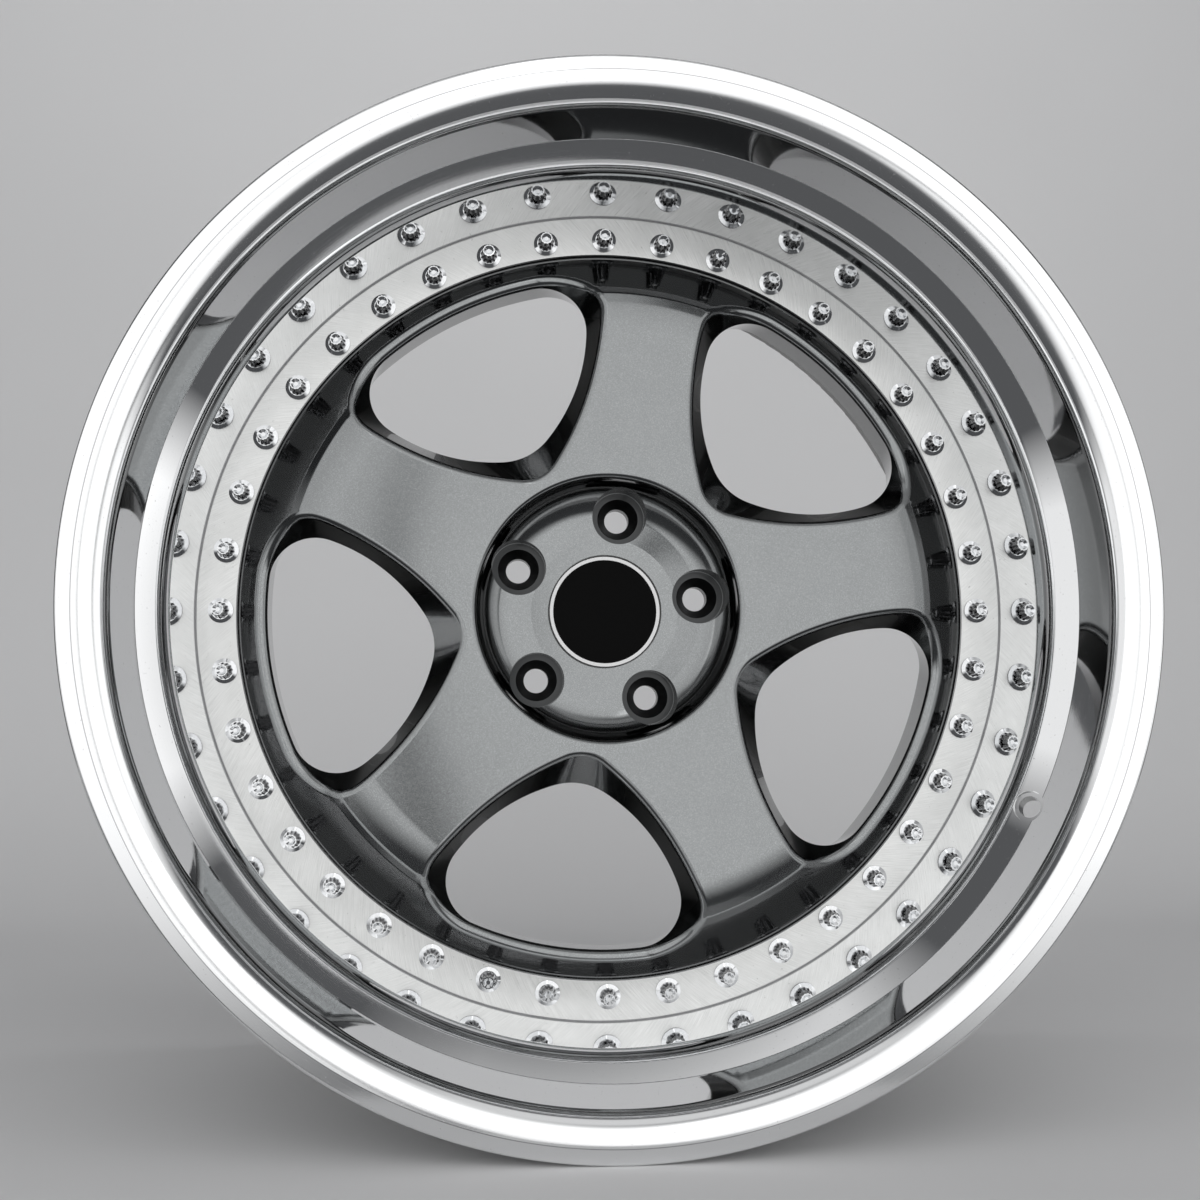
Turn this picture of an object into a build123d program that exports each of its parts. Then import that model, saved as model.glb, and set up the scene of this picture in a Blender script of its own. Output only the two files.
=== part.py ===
"""Split rim wheel: a five-spoke centre disc bolted between two rim halves.

Millimetres. The axle is the Y axis, the show side looks along -Y and +Z is up.
The origin lies on the axle, midway between the outer faces of the two rim flanges.
Depths are measured from the front face of the outer lip towards the back.
Azimuths run clockwise from the top, seen from the front.
"""
import os
from math import cos, radians, sin, tan

from build123d import *

os.makedirs("parts", exist_ok=True)

# Rim: sizes that both halves share
overall_width = 292.0
rim_flange_radius = 271.3
rim_flange_height = 17.3
rim_flange_width = 12.6
rim_flange_rounding = 4.0
bead_seat_width = 20.0
bead_seat_angle = 5.0
bead_fillet = 6.5
hump_height = 1.4
hump_width = 9.0
rim_wall = 6.8
rim_fit = 0.3

# Outer lip: the polished side, each width counted inwards from the one before, from the flange's edge on
lip_edge_width = 8.1
lip_edge_depth = 0.5
lip_edge_rounding = 2.0
lip_face_width = 13.1
lip_mouth_depth = 0.6
lip_roll_rounding = 16.0
lip_taper_width = 8.1
lip_step_depth = 36.5
lip_step_rounding = 1.0
lip_step_wall = 9.0
lip_step_width = 12.8
dish_mouth_depth = 50.7
dish_mouth_rounding = 20.0
dish_draft = 1.0
ring_depth = 117.3
ring_thickness = 6.5
ring_width = 22.8
ring_edge_break = 0.6
relief_width = 0.8
relief_depth = 0.4

# Valve hole through the lip's step, left empty
valve_azimuth = 116.4
valve_lean = 38.0
valve_inset = 3.6
valve_hole_diameter = 11.3
valve_spot_diameter = 16.6
valve_spot_depth = 2.4

# Centre disc: front form, each width counted inwards from the one before, from the edge of the shoulder on
disc_flange_thickness = 8.0
slope_foot_depth = 118.6
slope_width = 23.1
slope_top_depth = 99.8
crease_width = 4.0
crease_depth = 97.4
crown_width = 13.0
crown_depth = 94.5
crown_rounding = 60.0
crease_rounding = 6.0
slope_foot_rounding = 1.2
hub_rim_radius = 73.2
hub_rim_depth = 99.5
hub_rim_rounding = 3.4
bowl_foot_radius = 71.4
bowl_foot_depth = 121.4
bowl_rounding = 21.0
plateau_radius = 42.0
plateau_depth = 125.0

# Centre disc: back form
mounting_depth = 152.5
pad_radius = 76.0
pad_break = 3.0
pad_height = 10.0
spoke_root_radius = 104.0
spoke_root_depth = 128.0
spoke_root_rounding = 20.0
spoke_thickness = 28.0
spoke_middle_radius = 150.0
outer_ring_width = 14.7
pilot_step = 2.4
pilot_length = 5.0

# Hub bore, cap seat and wheel bolt seats
centre_bore_radius = 32.55
cap_seat_radius = 32.55
cap_bore_radius = 28.6
cap_bore_front = 128.4
cap_bore_back = 138.0
lug_count = 5
lug_circle_diameter = 110.0
lug_hole_diameter = 14.2
lug_pocket_diameter = 31.0
lug_pocket_depth = 135.5
lug_seat_diameter = 23.6
lug_seat_angle = 60.0
spoke_azimuth = 8.62

# Windows: outlines of the front mouth, the narrowest place and the back
window_count = 5
window_front_depth = 94.0
window_throat_depth = 112.5
window_back_depth = 140.0
window_front_margin = 7.9
window_front_apex_radius = 72.0
window_front_half_width = 87.7
window_front_side_radius = 232.0
window_front_apex_rounding = 14.0
window_throat_margin = 17.1
window_throat_apex_radius = 95.9
window_throat_half_width = 72.7
window_throat_side_radius = 103.0
window_throat_apex_rounding = 34.0
window_corner_rounding = 25.0
window_edge_rounding = 4.5
window_edge_margin = 1.0
window_back_growth = 5.0

# Inner barrel, with the insets counted from its back face
barrel_wall = 6.5
barrel_flange_thickness = 6.5
barrel_neck_depth = 148.0
well_drop = 12.5
well_front_depth = 166.0
well_back_inset = 66.0
barrel_flare_inset = 38.0

# Assembly bolts and nuts
bolt_count = 40
bolt_inset = 13.9
bolt_azimuth = -0.3
bolt_shank_radius = 3.5
bolt_hole_clearance = 0.25
bolt_collar_radius = 6.9
bolt_collar_rim = 0.8
bolt_collar_height = 1.7
bolt_collar_top_radius = 5.0
bolt_head_radius = 4.85
bolt_head_height = 9.2
bolt_head_draft = 7.5
bolt_dimple_radius = 2.7
bolt_dimple_depth = 1.3
bolt_dimple_taper = 50.0
bolt_tip_length = 2.2
bolt_tip_break = 0.7
nut_collar_radius = 6.6
nut_collar_height = 1.4
nut_across_flats = 10.0
nut_height = 6.5
thread_clearance = 0.05

# Sealant in the groove between the rim halves
seam_groove_depth = 3.0
seam_groove_half_width = 3.2
sealant_crown = 0.8

# Centre cap
cap_clearance = 0.35
cap_face_depth = 124.5
cap_rim_width = 0.7
cap_recess_depth = 1.0
cap_trim_width = 1.9
cap_trim_height = 0.9
cap_plate_height = 0.8
cap_leg_count = 6
cap_leg_width = 14.0
cap_leg_thickness = 1.6
cap_leg_gap = 0.25
cap_barb_height = 1.1
cap_barb_length = 3.0
cap_groove_clearance = 1.25
cap_skin = 1.8
cap_leg_slot_reach = 12.0
trim_clearance = 0.05
spring_wire_diameter = 1.4
spring_gap_angle = 30.0

# Worked out from the sizes above
front_y = -overall_width / 2
lip_back_depth = ring_depth + ring_thickness
barrel_front_depth = lip_back_depth + disc_flange_thickness
stack_back_depth = barrel_front_depth + barrel_flange_thickness
seam_depth = (lip_back_depth + barrel_front_depth) / 2
bead_seat_radius = rim_flange_radius - rim_flange_height
bead_drop = bead_seat_width * tan(radians(bead_seat_angle))
lip_crease_radius = rim_flange_radius - lip_edge_width
lip_mouth_radius = lip_crease_radius - lip_face_width
lip_step_radius = lip_mouth_radius - lip_taper_width
dish_mouth_radius = lip_step_radius - lip_step_width
dish_radius = dish_mouth_radius - dish_draft
rim_outside_radius = dish_radius + rim_wall
ring_inner_radius = dish_radius - ring_width
disc_flange_radius = dish_radius - rim_fit
shoulder_radius = ring_inner_radius - rim_fit
slope_top_radius = shoulder_radius - slope_width
crease_radius = slope_top_radius - crease_width
crown_radius = crease_radius - crown_width
window_front_outer_radius = shoulder_radius - window_front_margin
window_throat_outer_radius = shoulder_radius - window_throat_margin
pilot_radius = ring_inner_radius - pilot_step
outer_ring_radius = pilot_radius - rim_fit - outer_ring_width
well_inner_radius = rim_outside_radius - barrel_wall - well_drop
well_back_depth = overall_width - well_back_inset
barrel_flare_depth = overall_width - barrel_flare_inset
bolt_circle_radius = dish_radius - bolt_inset
bolt_hole_radius = bolt_shank_radius + bolt_hole_clearance
cap_radius = cap_seat_radius - cap_clearance
leg_outer_radius = cap_bore_radius - cap_leg_gap
leg_inner_radius = leg_outer_radius - cap_leg_thickness
barb_depth = cap_bore_back + cap_leg_gap
leg_end_depth = barb_depth + cap_barb_length
cap_groove_radius = leg_outer_radius + cap_barb_height + cap_groove_clearance
cap_groove_back = leg_end_depth + cap_groove_clearance
bolt_azimuths = [bolt_azimuth + 360.0 / bolt_count * i for i in range(bolt_count)]
spoke_azimuths = [spoke_azimuth + 360.0 / window_count * i for i in range(window_count)]
window_azimuths = [azimuth + 180.0 / window_count for azimuth in spoke_azimuths]


def at(radius, depth):
    """A point of a turned profile, from its distance to the axle and its depth."""
    return (radius, front_y + depth)


def face_plane(depth, height=0.0):
    """A plane square to the axle that looks to the front, with its x to the right and its y up."""
    return Plane(origin=(0, front_y + depth, height), x_dir=(1, 0, 0), z_dir=(0, -1, 0))


def round_axle(azimuths):
    """Turned places about the axle, one for each azimuth."""
    return [Location((0, 0, 0), (0, azimuth, 0)) for azimuth in azimuths]


def bead_profile(flange_depth, inward):
    """The tyre side of a rim half, from the top of its flange to the foot of its hump."""
    inner_face = flange_depth + inward * rim_flange_width
    seat_end = inner_face + inward * (bead_fillet + bead_seat_width)
    hump_top = seat_end + inward * hump_width / 2
    hump_foot = seat_end + inward * hump_width
    return [
        at(rim_flange_radius, inner_face),
        at(bead_seat_radius, inner_face),
        at(bead_seat_radius - bead_drop, seat_end),
        at(bead_seat_radius - bead_drop + hump_height, hump_top),
        at(bead_seat_radius - bead_drop - hump_height, hump_foot),
    ]


# Outer lip: one aluminium turning with the dish, the bead seat and the bolting ring
lip_bead = bead_profile(0.0, 1)
with BuildPart() as outer_lip:
    with BuildSketch(Plane.XY) as lip_section:
        with BuildLine():
            Polyline(
                *reversed(lip_bead),
                at(rim_flange_radius, lip_edge_depth),
                at(lip_crease_radius, 0),
                at(lip_mouth_radius, lip_mouth_depth),
                at(lip_step_radius, lip_step_depth),
                at(dish_mouth_radius, dish_mouth_depth),
                at(dish_radius, ring_depth - relief_depth),
                at(dish_radius - relief_width / 2, ring_depth + relief_depth),
                at(dish_radius - relief_width, ring_depth),
                at(ring_inner_radius + ring_edge_break, ring_depth),
                at(ring_inner_radius, ring_depth + ring_edge_break),
                at(ring_inner_radius, lip_back_depth),
                at(dish_radius, lip_back_depth),
                at(dish_radius, seam_depth),
                at(rim_outside_radius - seam_groove_depth, seam_depth),
                at(rim_outside_radius, seam_depth - seam_groove_half_width),
                at(rim_outside_radius, dish_mouth_depth + lip_step_wall / 2),
                close=True,
            )
        make_face()
        lip_rounds = [
            (lip_bead[0], rim_flange_rounding),
            (lip_bead[1], bead_fillet),
            (at(rim_flange_radius, lip_edge_depth), lip_edge_rounding),
            (at(lip_mouth_radius, lip_mouth_depth), lip_roll_rounding),
            (at(lip_step_radius, lip_step_depth), lip_step_rounding),
            (at(dish_mouth_radius, dish_mouth_depth), dish_mouth_rounding),
        ]
        for corner, rounding in lip_rounds:
            fillet(lip_section.vertices().sort_by_distance((*corner, 0))[0], rounding)
    revolve(axis=Axis.Y)
    with BuildSketch(face_plane(ring_depth)):
        with PolarLocations(bolt_circle_radius, bolt_count, start_angle=90 - bolt_azimuth):
            Circle(bolt_hole_radius)
    extrude(amount=-ring_thickness, mode=Mode.SUBTRACT)
    valve_radius = lip_step_radius - valve_inset
    valve_depth = lip_step_depth + valve_inset
    valve_plane = Plane(
        origin=(
            valve_radius * sin(radians(valve_azimuth)),
            front_y + valve_depth,
            valve_radius * cos(radians(valve_azimuth)),
        ),
        z_dir=(
            -sin(radians(valve_lean)) * sin(radians(valve_azimuth)),
            -cos(radians(valve_lean)),
            -sin(radians(valve_lean)) * cos(radians(valve_azimuth)),
        ),
    )
    with BuildSketch(valve_plane):
        Circle(valve_hole_diameter / 2)
    extrude(amount=2 * lip_step_wall, both=True, mode=Mode.SUBTRACT)
    with BuildSketch(valve_plane.offset(-valve_spot_depth)):
        Circle(valve_spot_diameter / 2)
    extrude(amount=2 * lip_step_wall, mode=Mode.SUBTRACT)
outer_lip.part.label = "outer_lip"
export_step(outer_lip.part, "parts/outer_lip.step")

# Inner barrel: one aluminium turning with the drop well, the rear bead seat and the rear flange
barrel_bead = bead_profile(overall_width, -1)
barrel_seat_radius = bead_seat_radius - bead_drop - barrel_wall
with BuildPart() as inner_barrel:
    with BuildSketch(Plane.XY) as barrel_section:
        with BuildLine():
            Polyline(
                at(pilot_radius, barrel_front_depth),
                at(dish_radius, barrel_front_depth),
                at(dish_radius, seam_depth),
                at(rim_outside_radius - seam_groove_depth, seam_depth),
                at(rim_outside_radius, seam_depth + seam_groove_half_width),
                at(rim_outside_radius, barrel_neck_depth),
                at(well_inner_radius + barrel_wall, well_front_depth),
                at(well_inner_radius + barrel_wall, well_back_depth - barrel_wall / 2),
                *reversed(barrel_bead),
                at(rim_flange_radius, overall_width),
                at(rim_flange_radius - rim_flange_width, overall_width),
                at(barrel_seat_radius, overall_width - rim_flange_width),
                at(barrel_seat_radius, barrel_flare_depth),
                at(well_inner_radius, well_back_depth),
                at(well_inner_radius, well_front_depth),
                at(rim_outside_radius - barrel_wall, barrel_neck_depth),
                at(rim_outside_radius - barrel_wall, stack_back_depth),
                at(pilot_radius, stack_back_depth),
                close=True,
            )
        make_face()
        barrel_rounds = [
            (barrel_bead[1], bead_fillet),
            (barrel_bead[0], rim_flange_rounding),
            (at(rim_flange_radius, overall_width), rim_flange_rounding),
            (at(rim_flange_radius - rim_flange_width, overall_width), rim_flange_rounding),
            (at(barrel_seat_radius, overall_width - rim_flange_width), bead_fillet),
            (at(rim_outside_radius - barrel_wall, stack_back_depth), barrel_wall / 2),
            (at(well_inner_radius, well_back_depth), bead_fillet),
            (at(well_inner_radius, well_front_depth), bead_fillet),
        ]
        for corner, rounding in barrel_rounds:
            fillet(barrel_section.vertices().sort_by_distance((*corner, 0))[0], rounding)
    revolve(axis=Axis.Y)
    with BuildSketch(face_plane(barrel_front_depth)):
        with PolarLocations(bolt_circle_radius, bolt_count, start_angle=90 - bolt_azimuth):
            Circle(bolt_hole_radius)
    extrude(amount=-barrel_flange_thickness, mode=Mode.SUBTRACT)
inner_barrel.part.label = "inner_barrel"
export_step(inner_barrel.part, "parts/inner_barrel.step")


def window_outline(depth, outer_radius, apex_radius, half_width, side_radius, apex_rounding):
    """One window's outline, at the top of the wheel: an outer arc and two bowed sides that meet inside."""
    apex = Vector(0, apex_radius)
    corner = Vector(half_width, (outer_radius**2 - half_width**2) ** 0.5)
    side = corner - apex
    bow = side_radius - (side_radius**2 - side.length**2 / 4) ** 0.5
    middle = (apex + corner) / 2 + Vector(side.Y, -side.X).normalized() * bow
    with BuildSketch(face_plane(depth)) as outline:
        with BuildLine():
            right = ThreePointArc(apex, middle, corner)
            left = ThreePointArc(apex, (-middle.X, middle.Y), (-corner.X, corner.Y))
            ThreePointArc(left @ 1, (0, outer_radius), right @ 1)
        make_face()
        fillet(outline.vertices().sort_by(Axis.Y)[0], apex_rounding)
        fillet(outline.vertices().sort_by(Axis.Y)[-2:], window_corner_rounding)
    return outline.sketch


# Centre disc: one aluminium forging, turned and milled, painted
window_mouth = window_outline(
    window_front_depth,
    window_front_outer_radius,
    window_front_apex_radius,
    window_front_half_width,
    window_front_side_radius,
    window_front_apex_rounding,
)
window_throat = window_outline(
    window_throat_depth,
    window_throat_outer_radius,
    window_throat_apex_radius,
    window_throat_half_width,
    window_throat_side_radius,
    window_throat_apex_rounding,
)
window_back = window_outline(
    window_back_depth,
    window_throat_outer_radius + window_back_growth / 4,
    window_throat_apex_radius - window_back_growth,
    window_throat_half_width + window_back_growth,
    window_throat_side_radius + window_back_growth,
    window_throat_apex_rounding,
)
with BuildPart() as window_cutter:
    loft([window_mouth, window_throat])
    loft([window_throat, window_back])

with BuildPart() as centre_disc:
    with BuildSketch(Plane.XY) as disc_section:
        with BuildLine():
            Polyline(
                at(centre_bore_radius, mounting_depth),
                at(centre_bore_radius, cap_groove_back),
                at(cap_groove_radius, cap_groove_back),
                at(cap_groove_radius, cap_bore_back),
                at(cap_bore_radius, cap_bore_back),
                at(cap_bore_radius, cap_bore_front),
                at(cap_seat_radius, cap_bore_front),
                at(cap_seat_radius, plateau_depth),
                at(plateau_radius, plateau_depth),
                at(bowl_foot_radius, bowl_foot_depth),
                at(hub_rim_radius, hub_rim_depth),
                at(crown_radius, crown_depth),
                at(crease_radius, crease_depth),
                at(slope_top_radius, slope_top_depth),
                at(shoulder_radius, slope_foot_depth),
                at(shoulder_radius, lip_back_depth),
                at(disc_flange_radius, lip_back_depth),
                at(disc_flange_radius, barrel_front_depth),
                at(pilot_radius - rim_fit, barrel_front_depth),
                at(pilot_radius - rim_fit, barrel_front_depth + pilot_length),
                at(outer_ring_radius, barrel_front_depth + pilot_length),
                at(spoke_middle_radius, crown_depth + spoke_thickness),
                at(spoke_root_radius, spoke_root_depth),
                at(pad_radius + pad_height, mounting_depth - pad_height),
                at(pad_radius, mounting_depth - pad_break),
                at(pad_radius - pad_break, mounting_depth),
                close=True,
            )
        make_face()
        disc_rounds = [
            (at(bowl_foot_radius, bowl_foot_depth), bowl_rounding),
            (at(hub_rim_radius, hub_rim_depth), hub_rim_rounding),
            (at(crown_radius, crown_depth), crown_rounding),
            (at(crease_radius, crease_depth), crease_rounding),
            (at(slope_top_radius, slope_top_depth), crease_rounding),
            (at(shoulder_radius, slope_foot_depth), slope_foot_rounding),
            (at(spoke_root_radius, spoke_root_depth), spoke_root_rounding),
        ]
        for corner, rounding in disc_rounds:
            fillet(disc_section.vertices().sort_by_distance((*corner, 0))[0], rounding)
    revolve(axis=Axis.Y)
    with Locations(*round_axle(window_azimuths)):
        add(window_cutter.part, mode=Mode.SUBTRACT)
    window_edge_limit = front_y + window_throat_depth - window_edge_margin
    window_edges = (
        edges(Select.LAST)
        .filter_by(GeomType.CIRCLE, reverse=True)
        .filter_by(GeomType.LINE, reverse=True)
        .filter_by(lambda edge: max(end.Y for end in edge.vertices()) < window_edge_limit)
    )
    fillet(window_edges, window_edge_rounding)
    with BuildSketch(face_plane(lug_pocket_depth)):
        with PolarLocations(lug_circle_diameter / 2, lug_count, start_angle=90 - spoke_azimuth):
            Circle(lug_pocket_diameter / 2)
    extrude(amount=lug_pocket_depth - hub_rim_depth, mode=Mode.SUBTRACT)
    with BuildSketch(face_plane(lug_pocket_depth)):
        with PolarLocations(lug_circle_diameter / 2, lug_count, start_angle=90 - spoke_azimuth):
            Circle(lug_seat_diameter / 2)
    lug_seat_height = (lug_seat_diameter - lug_hole_diameter) / 2 / tan(radians(lug_seat_angle / 2))
    extrude(amount=-lug_seat_height, taper=lug_seat_angle / 2, mode=Mode.SUBTRACT)
    with BuildSketch(face_plane(lug_pocket_depth)):
        with PolarLocations(lug_circle_diameter / 2, lug_count, start_angle=90 - spoke_azimuth):
            Circle(lug_hole_diameter / 2)
    extrude(amount=lug_pocket_depth - mounting_depth, mode=Mode.SUBTRACT)
    with BuildSketch(face_plane(lip_back_depth)):
        with PolarLocations(bolt_circle_radius, bolt_count, start_angle=90 - bolt_azimuth):
            Circle(bolt_hole_radius)
    extrude(amount=-disc_flange_thickness, mode=Mode.SUBTRACT)
centre_disc.part.label = "centre_disc"
export_step(centre_disc.part, "parts/centre_disc.step")

# Assembly bolts: chromed steel, a coned collar and a twelve-point head with a dimple
bolt_plane = face_plane(ring_depth, bolt_circle_radius)
bolt_length = stack_back_depth - ring_depth + nut_height + bolt_tip_length
with BuildPart() as bolt:
    with BuildSketch(bolt_plane):
        Circle(bolt_collar_radius)
    extrude(amount=bolt_collar_rim)
    with BuildSketch(bolt_plane.offset(bolt_collar_rim)):
        Circle(bolt_collar_radius)
    with BuildSketch(bolt_plane.offset(bolt_collar_height)):
        Circle(bolt_collar_top_radius)
    loft()
    with BuildSketch(bolt_plane.offset(bolt_collar_height)):
        RegularPolygon(bolt_head_radius, 6)
        RegularPolygon(bolt_head_radius, 6, rotation=30)
    extrude(amount=bolt_head_height, taper=bolt_head_draft)
    with BuildSketch(bolt_plane.offset(bolt_collar_height + bolt_head_height)):
        Circle(bolt_dimple_radius)
    extrude(amount=-bolt_dimple_depth, taper=bolt_dimple_taper, mode=Mode.SUBTRACT)
    with BuildSketch(bolt_plane):
        Circle(bolt_shank_radius)
    extrude(amount=-bolt_length)
    chamfer(bolt.faces().sort_by(Axis.Y)[-1].edges(), bolt_tip_break)
with BuildPart() as assembly_bolts:
    with Locations(*round_axle(bolt_azimuths)):
        add(bolt.part)
assembly_bolts.part.label = "assembly_bolts"
export_step(assembly_bolts.part, "parts/assembly_bolts.step")

# Assembly nuts: plated steel flange nuts that close the stack from behind
nut_plane = face_plane(stack_back_depth, bolt_circle_radius)
with BuildPart() as nut:
    with BuildSketch(nut_plane):
        Circle(nut_collar_radius)
    extrude(amount=-nut_collar_height)
    with BuildSketch(nut_plane):
        RegularPolygon(nut_across_flats / 2, 6, major_radius=False)
    extrude(amount=-nut_height)
    with BuildSketch(nut_plane):
        Circle(bolt_shank_radius + thread_clearance)
    extrude(amount=-nut_height, mode=Mode.SUBTRACT)
with BuildPart() as assembly_nuts:
    with Locations(*round_axle(bolt_azimuths)):
        add(nut.part)
assembly_nuts.part.label = "assembly_nuts"
export_step(assembly_nuts.part, "parts/assembly_nuts.step")

# Sealant: a bead of silicone in the groove where the two rim halves meet
with BuildPart() as rim_sealant:
    with BuildSketch(Plane.XY):
        with BuildLine():
            bead_bed = Polyline(
                at(rim_outside_radius, seam_depth - seam_groove_half_width),
                at(rim_outside_radius - seam_groove_depth, seam_depth),
                at(rim_outside_radius, seam_depth + seam_groove_half_width),
            )
            ThreePointArc(bead_bed @ 1, at(rim_outside_radius + sealant_crown, seam_depth), bead_bed @ 0)
        make_face()
    revolve(axis=Axis.Y)
rim_sealant.part.label = "rim_sealant"
export_step(rim_sealant.part, "parts/rim_sealant.step")

# Cap body: a black moulding with a rim and six snap legs
cap_floor_depth = cap_face_depth + cap_recess_depth
cap_recess_radius = cap_radius - cap_rim_width
with BuildPart() as cap_body:
    with BuildSketch(Plane.XY):
        with BuildLine():
            Polyline(
                at(0, cap_floor_depth),
                at(cap_recess_radius, cap_floor_depth),
                at(cap_recess_radius, cap_face_depth),
                at(cap_radius, cap_face_depth),
                at(cap_radius, cap_bore_front),
                at(leg_outer_radius, cap_bore_front),
                at(leg_outer_radius, barb_depth),
                at(leg_outer_radius + cap_barb_height, barb_depth),
                at(leg_outer_radius, leg_end_depth),
                at(leg_inner_radius, leg_end_depth),
                at(leg_inner_radius, cap_floor_depth + cap_skin),
                at(0, cap_floor_depth + cap_skin),
                close=True,
            )
        make_face()
    revolve(axis=Axis.Y)
    leg_slot_width = 2 * leg_outer_radius * sin(radians(180.0 / cap_leg_count)) - cap_leg_width
    with BuildSketch(face_plane(cap_bore_front)):
        with PolarLocations(leg_outer_radius, cap_leg_count):
            Rectangle(cap_leg_slot_reach, leg_slot_width)
    extrude(amount=cap_bore_front - leg_end_depth, mode=Mode.SUBTRACT)
cap_body.part.label = "cap_body"
export_step(cap_body.part, "parts/cap_body.step")

# Cap trim: a white ring laid in the cap's recess
trim_outer_radius = cap_recess_radius - trim_clearance
trim_inner_radius = trim_outer_radius - cap_trim_width
with BuildPart() as cap_ring:
    with BuildSketch(face_plane(cap_floor_depth)):
        Circle(trim_outer_radius)
        Circle(trim_inner_radius, mode=Mode.SUBTRACT)
    extrude(amount=cap_trim_height)
cap_ring.part.label = "cap_ring"
export_step(cap_ring.part, "parts/cap_ring.step")

# Cap plate: a plain black disc inside the trim ring
with BuildPart() as cap_plate:
    with BuildSketch(face_plane(cap_floor_depth)):
        Circle(trim_inner_radius - trim_clearance)
    extrude(amount=cap_plate_height)
cap_plate.part.label = "cap_plate"
export_step(cap_plate.part, "parts/cap_plate.step")

# Cap spring: an open ring of steel wire that spreads the snap legs
spring_radius = leg_inner_radius - spring_wire_diameter / 2 - trim_clearance
with BuildPart() as cap_spring:
    with BuildSketch(Plane.XY):
        with Locations(at(spring_radius, barb_depth)):
            Circle(spring_wire_diameter / 2)
    revolve(axis=Axis.Y, revolution_arc=360 - spring_gap_angle)
cap_spring.part.label = "cap_spring"
export_step(cap_spring.part, "parts/cap_spring.step")
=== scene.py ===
"""Looks of the split rim wheel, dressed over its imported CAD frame. Metres, +Z up, the show side along -Y."""
import math

import bpy
import numpy as np
from mathutils import Matrix, Vector
from mathutils.geometry import delaunay_2d_cdt, intersect_sphere_sphere_2d


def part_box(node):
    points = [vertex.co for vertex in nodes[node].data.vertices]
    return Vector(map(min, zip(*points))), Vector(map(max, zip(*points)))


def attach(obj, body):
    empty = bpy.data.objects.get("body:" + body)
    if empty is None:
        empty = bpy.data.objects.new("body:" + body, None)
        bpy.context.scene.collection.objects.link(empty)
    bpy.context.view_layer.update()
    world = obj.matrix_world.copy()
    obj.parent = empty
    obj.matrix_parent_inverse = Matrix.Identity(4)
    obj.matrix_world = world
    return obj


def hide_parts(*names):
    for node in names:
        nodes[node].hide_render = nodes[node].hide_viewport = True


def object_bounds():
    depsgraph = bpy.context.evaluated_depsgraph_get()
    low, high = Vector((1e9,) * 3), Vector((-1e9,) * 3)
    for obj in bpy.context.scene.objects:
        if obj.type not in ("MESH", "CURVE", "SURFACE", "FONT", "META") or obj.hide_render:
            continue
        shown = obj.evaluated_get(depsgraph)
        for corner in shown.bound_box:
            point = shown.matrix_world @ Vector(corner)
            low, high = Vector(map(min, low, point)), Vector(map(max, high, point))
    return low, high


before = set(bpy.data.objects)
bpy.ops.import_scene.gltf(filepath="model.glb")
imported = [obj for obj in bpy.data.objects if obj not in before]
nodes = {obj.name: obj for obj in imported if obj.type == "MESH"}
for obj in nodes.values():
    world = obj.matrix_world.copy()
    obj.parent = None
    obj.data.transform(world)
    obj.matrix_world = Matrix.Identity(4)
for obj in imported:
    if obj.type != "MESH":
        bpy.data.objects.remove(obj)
cad_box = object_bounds()

# Outer lip
# One aluminium turning: the dish is mirror polished, the bolting ring and the tyre side are left as machined.
# It carries the tyre's front bead and is clamped to the centre disc by the ring of bolts.
# It is spun again here from the corners of its section, so that its mirror faces are truly smooth.
LIP_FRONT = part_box("outer_lip")[0].y
LIP_FACETS = 420
ROW_SPACING = 0.003
ARC_STEP = math.radians(5)
SAME_POINT = 1e-7
CREASE_RADIUS = 0.2632
CREASE_HALF_WIDTH = 0.00022
FLANGE_FACE_START = 0.2505
FLANGE_FACE_FULL = 0.2520
FLANGE_ROLL_DEPTH = 0.006
GROOVE_RADIUS = 0.2278
GROOVE_HALF_WIDTH = 0.0005
GROOVE_START_DEPTH = 0.1168
RING_DEPTH = 0.1173
RING_INNER_RADIUS = 0.2060
RING_OUTER_RADIUS = 0.2274
LIP_SECTION = [
    # distance from the axle, depth behind the front face, rounding
    (0.2713, 0.0005, 0.002),
    (CREASE_RADIUS, 0.0, 0.0),
    (0.2501, 0.0006, 0.016),
    (0.2420, 0.0365, 0.001),
    (0.2292, 0.0507, 0.020),
    (0.2282, 0.1169, 0.0),
    (GROOVE_RADIUS, 0.1177, 0.0),
    (RING_OUTER_RADIUS, RING_DEPTH, 0.0),
    (RING_INNER_RADIUS, RING_DEPTH, 0.0),
    (0.2054, 0.1179, 0.0),
    (0.2054, 0.1238, 0.0),
    (0.2282, 0.1238, 0.0),
    (0.2282, 0.1278, 0.0),
    (0.2320, 0.1278, 0.0),
    (0.2350, 0.1246, 0.0),
    (0.2350, 0.0552, 0.0),
    (0.25085, 0.0481, 0.0),
    (0.25365, 0.0436, 0.0),
    (0.25225, 0.0391, 0.0),
    (0.2540, 0.0126, 0.0065),
    (0.2713, 0.0126, 0.004),
]
VALVE_AZIMUTH = math.radians(116.4)
VALVE_LEAN = math.radians(38)
VALVE_RADIUS = 0.2384
VALVE_DEPTH = 0.0401
VALVE_HOLE = 0.0113 / 2
VALVE_SPOT = 0.0166 / 2
VALVE_SPOT_DEPTH = 0.0024
VALVE_REACH = 0.018
VALVE_FACETS = 96
VALVE_CENTRE = 0.00001
SHADING_BATCH = 20000
FACING_WEIGHT = 4
FACING_LIMIT = 0.9
POLISHED = (0.88, 0.885, 0.89, 1)
DUST = (0.66, 0.66, 0.66, 1)
PAINTED_CREASE_SHADE = (0.42, 0.42, 0.43, 1)
MILLED = (0.70, 0.705, 0.70, 1)
MILLED_MARK = (0.60, 0.605, 0.595, 1)
MILLED_DULL = (0.72, 0.725, 0.715, 1)
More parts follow.
